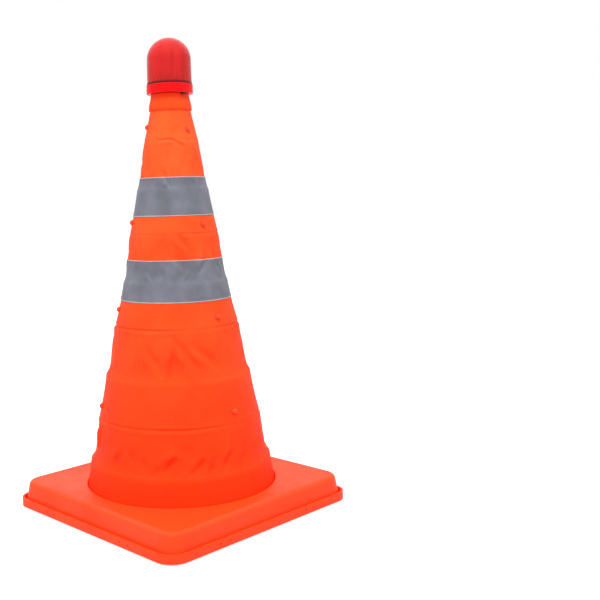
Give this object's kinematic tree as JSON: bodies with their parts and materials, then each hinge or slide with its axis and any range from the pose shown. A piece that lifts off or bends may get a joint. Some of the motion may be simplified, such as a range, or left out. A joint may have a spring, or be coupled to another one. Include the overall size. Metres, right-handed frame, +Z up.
{
  "type": "collapsible traffic cone",
  "caption": "Pop-up safety cone: orange coated fabric over nested hoops on a square base, two grey reflective bands and a red lamp at the tip.",
  "frame": {"origin": "centre of the square base, on the ground under its rubber feet", "axes": "+Z up along the cone's axis; X and Y along the sides of the square base"},
  "size_m": [0.22, 0.22, 0.426],
  "materials": {
    "base_plastic": "satin moulded orange",
    "foot_rubber": "matt black",
    "screw_steel": "zinc plated",
    "hoop_plastic": "moulded black",
    "coated_fabric": "coated woven orange",
    "reflective_tape": "grey reflective tape",
    "rivet_plastic": "orange",
    "washer_plastic": "black",
    "lamp_housing": "glossy red",
    "black_plastic": "black",
    "button_plastic": "black",
    "battery_can": "plain sleeved cells",
    "contact_metal": "nickel plated",
    "board_laminate": "green laminate",
    "led_resin": "clear resin",
    "wire_insulation": "red insulation",
    "red_lens": "translucent red",
    "seal_rubber": "matt black"
  },
  "bodies": {
    "base": {"base_tray": "base_plastic", "base_cover": "base_plastic", "base_screws": "screw_steel", "base_feet": "foot_rubber", "ring_a": "hoop_plastic", "cloth_ring_a": "coated_fabric", "cloth_gap_ab": "coated_fabric"},
    "hoop_b": {"ring_b": "hoop_plastic", "cloth_ring_b": "coated_fabric", "rivets_b": "rivet_plastic", "rivet_washers_b": "washer_plastic", "cloth_gap_bc": "coated_fabric"},
    "hoop_c": {"ring_c": "hoop_plastic", "cloth_ring_c": "coated_fabric", "rivets_c": "rivet_plastic", "rivet_washers_c": "washer_plastic", "lower_band_on_ring": "reflective_tape", "cloth_gap_cd": "coated_fabric", "lower_band_above": "reflective_tape"},
    "hoop_d": {"ring_d": "hoop_plastic", "cloth_ring_d": "coated_fabric", "rivets_d": "rivet_plastic", "rivet_washers_d": "washer_plastic", "upper_band_on_ring": "reflective_tape", "cloth_gap_de": "coated_fabric", "upper_band_above": "reflective_tape"},
    "hoop_e": {"ring_e": "hoop_plastic", "cloth_ring_e": "coated_fabric", "rivets_e": "rivet_plastic", "rivet_washers_e": "washer_plastic", "lamp_base": "lamp_housing", "lamp_nut": "black_plastic", "battery_holder": "black_plastic", "batteries": "battery_can", "battery_springs": "contact_metal", "contact_plates": "contact_metal", "circuit_board": "board_laminate", "board_screws": "screw_steel", "led": "led_resin", "switch_body": "black_plastic", "switch_wires": "wire_insulation"},
    "gasket": {"lens_gasket": "seal_rubber"},
    "lens": {"lens": "red_lens"},
    "button": {"switch_button": "button_plastic"}
  },
  "joints": [
    {"name": "hoop_b_drop", "type": "slide", "parent": "base", "child": "hoop_b", "axis": [0, 0, 1], "range_m": [-0.0804, 0], "deforming": ["cloth_gap_ab"]},
    {"name": "hoop_c_drop", "type": "slide", "parent": "hoop_b", "child": "hoop_c", "axis": [0, 0, 1], "range_m": [-0.0822, 0], "deforming": ["cloth_gap_bc"]},
    {"name": "hoop_d_drop", "type": "slide", "parent": "hoop_c", "child": "hoop_d", "axis": [0, 0, 1], "range_m": [-0.0822, 0], "deforming": ["cloth_gap_cd", "lower_band_above"]},
    {"name": "hoop_e_drop", "type": "slide", "parent": "hoop_d", "child": "hoop_e", "axis": [0, 0, 1], "range_m": [-0.0838, 0], "deforming": ["cloth_gap_de", "upper_band_above"]},
    {"name": "lens_lift", "type": "slide", "parent": "hoop_e", "child": "gasket", "axis": [0, 0, 1], "range_m": [0, 0.00301]},
    {"name": "lens_turn", "type": "hinge", "parent": "gasket", "child": "lens", "pos_m": [0, 0, 0.3839], "axis": [0, 0, 1], "range_deg": [0, 540]},
    {"name": "button_press", "type": "slide", "parent": "hoop_e", "child": "button", "axis": [0, 0, 1], "range_m": [0, 0.0008], "stiffness_N_per_m": 400}
  ],
  "couplings": [
    {"joint": "lens_lift", "follows": "lens_turn", "m_per_rad": 0.00031831}
  ]
}
